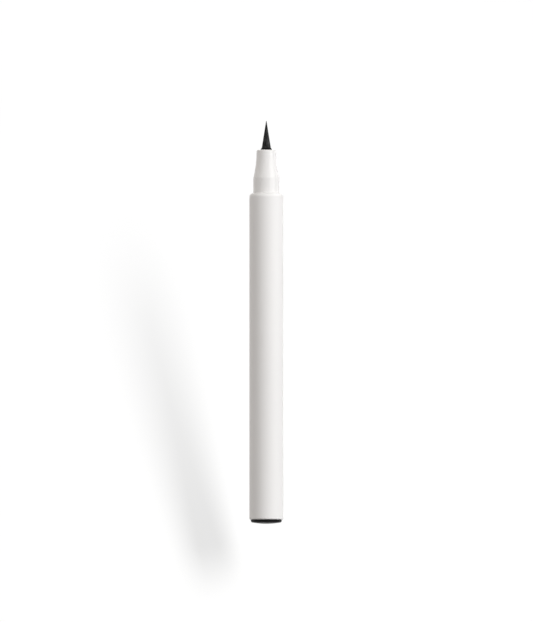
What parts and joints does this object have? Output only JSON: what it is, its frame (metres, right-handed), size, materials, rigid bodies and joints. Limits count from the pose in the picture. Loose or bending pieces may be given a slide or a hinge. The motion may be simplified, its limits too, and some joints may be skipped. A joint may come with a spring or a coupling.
{
  "type": "liquid eyeliner pen",
  "caption": "Uncapped liquid eyeliner pen: slim white barrel with a rounded shoulder, tapered glossy nozzle, pointed black brush tip that bends, and a domed black tail plug.",
  "frame": {"origin": "lowest point of the tail plug's dome, on the pen's axis", "axes": "+Z runs along the pen from the tail to the brush tip; the pen is round about Z, and +X is to the right and +Y away from the viewer as pictured"},
  "size_m": [0.01, 0.01, 0.1189],
  "materials": {
    "barrel_white": "matte soft-touch coating",
    "tail_black": "satin black moulding",
    "tank_clear": "translucent natural polypropylene",
    "stopper_white": "natural polyethylene",
    "ball_steel": "polished stainless steel",
    "collector_grey": "moulded plastic, wetted by ink",
    "seal_rubber": "nitrile rubber",
    "wick_fibre": "bonded fibre, soaked in black ink",
    "nozzle_white": "glossy white moulding",
    "ferrule_black": "glossy black moulding",
    "retainer_white": "moulded plastic",
    "bristle_black": "fused black synthetic fibre"
  },
  "bodies": {
    "pen": {"barrel": "barrel_white", "end_plug": "tail_black", "ink_tank": "tank_clear", "tank_stopper": "stopper_white", "ink_collector": "collector_grey", "collector_seal": "seal_rubber", "feed_wick": "wick_fibre", "nozzle": "nozzle_white", "brush_ferrule": "ferrule_black", "wick_retainer": "retainer_white", "bristle_root": "bristle_black"},
    "ball": {"mixing_ball": "ball_steel"},
    "bristles": {"bristle_tuft": "bristle_black"}
  },
  "joints": [
    {"name": "ball_travel", "type": "slide", "parent": "pen", "child": "ball", "axis": [0, 0, 1], "range_m": [0, 0.05498]},
    {"name": "bristle_bend", "type": "hinge", "parent": "pen", "child": "bristles", "pos_m": [0, 0, 0.11097], "axis": [0, 1, 0], "range_deg": [-20, 20], "stiffness_Nm_per_rad": 0.0015}
  ]
}
